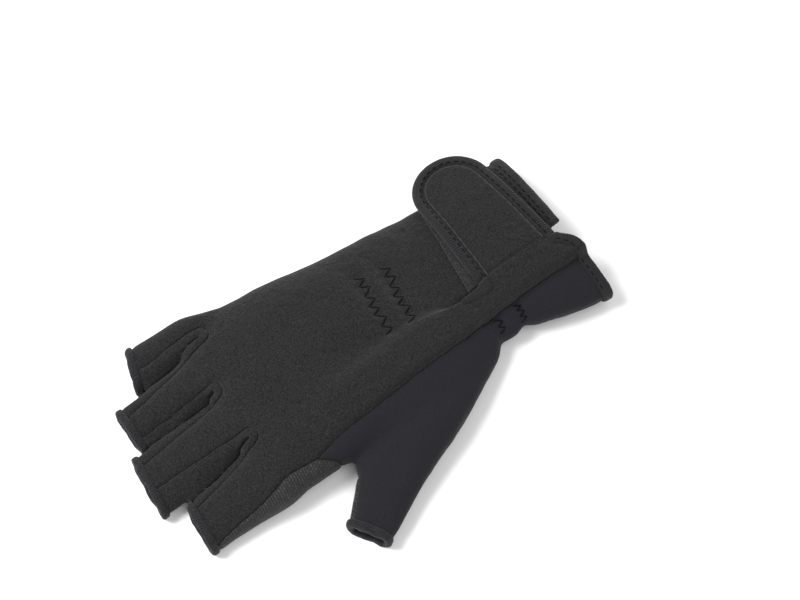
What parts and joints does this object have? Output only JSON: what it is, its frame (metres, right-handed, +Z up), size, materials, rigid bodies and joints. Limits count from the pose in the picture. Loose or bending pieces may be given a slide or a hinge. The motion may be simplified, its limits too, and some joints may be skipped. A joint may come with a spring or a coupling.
{
  "type": "fishing glove",
  "caption": "Half-finger fishing glove for the right hand, lying palm down: neoprene back, grip mesh palm, stretch thumb panel, bound open fingertips and a wrist strap with a touch fastener.",
  "frame": {"origin": "on the palm's flat resting face, below the middle of the back of the hand", "axes": "+Y along the hand towards the fingertips, +Z up out of the back of the hand, +X towards the little finger's side, the thumb on the -X side"},
  "size_m": [0.1356, 0.2097, 0.0265],
  "materials": {
    "fleece_neoprene": "matt fleece",
    "stretch_cloth": "matt knit",
    "grip_mesh": "coarse woven grip",
    "binding_tape": "ribbed tape",
    "loop_cloth": "fuzzy loops",
    "hook_cloth": "fine hooks"
  },
  "bodies": {
    "root": {"back_panel": "fleece_neoprene", "palm_panel": "grip_mesh", "thumb_panel": "stretch_cloth", "thumb_grip": "grip_mesh", "gusset_index_middle": "fleece_neoprene", "gusset_middle_ring": "fleece_neoprene", "gusset_ring_pinky": "fleece_neoprene", "binding_index": "binding_tape", "binding_middle": "binding_tape", "binding_ring": "binding_tape", "binding_pinky": "binding_tape", "binding_thumb": "binding_tape", "cuff_binding": "binding_tape", "wrist_strap": "fleece_neoprene", "strap_binding": "binding_tape", "loop_patch": "loop_cloth", "hook_patch": "hook_cloth"}
  },
  "joints": []
}
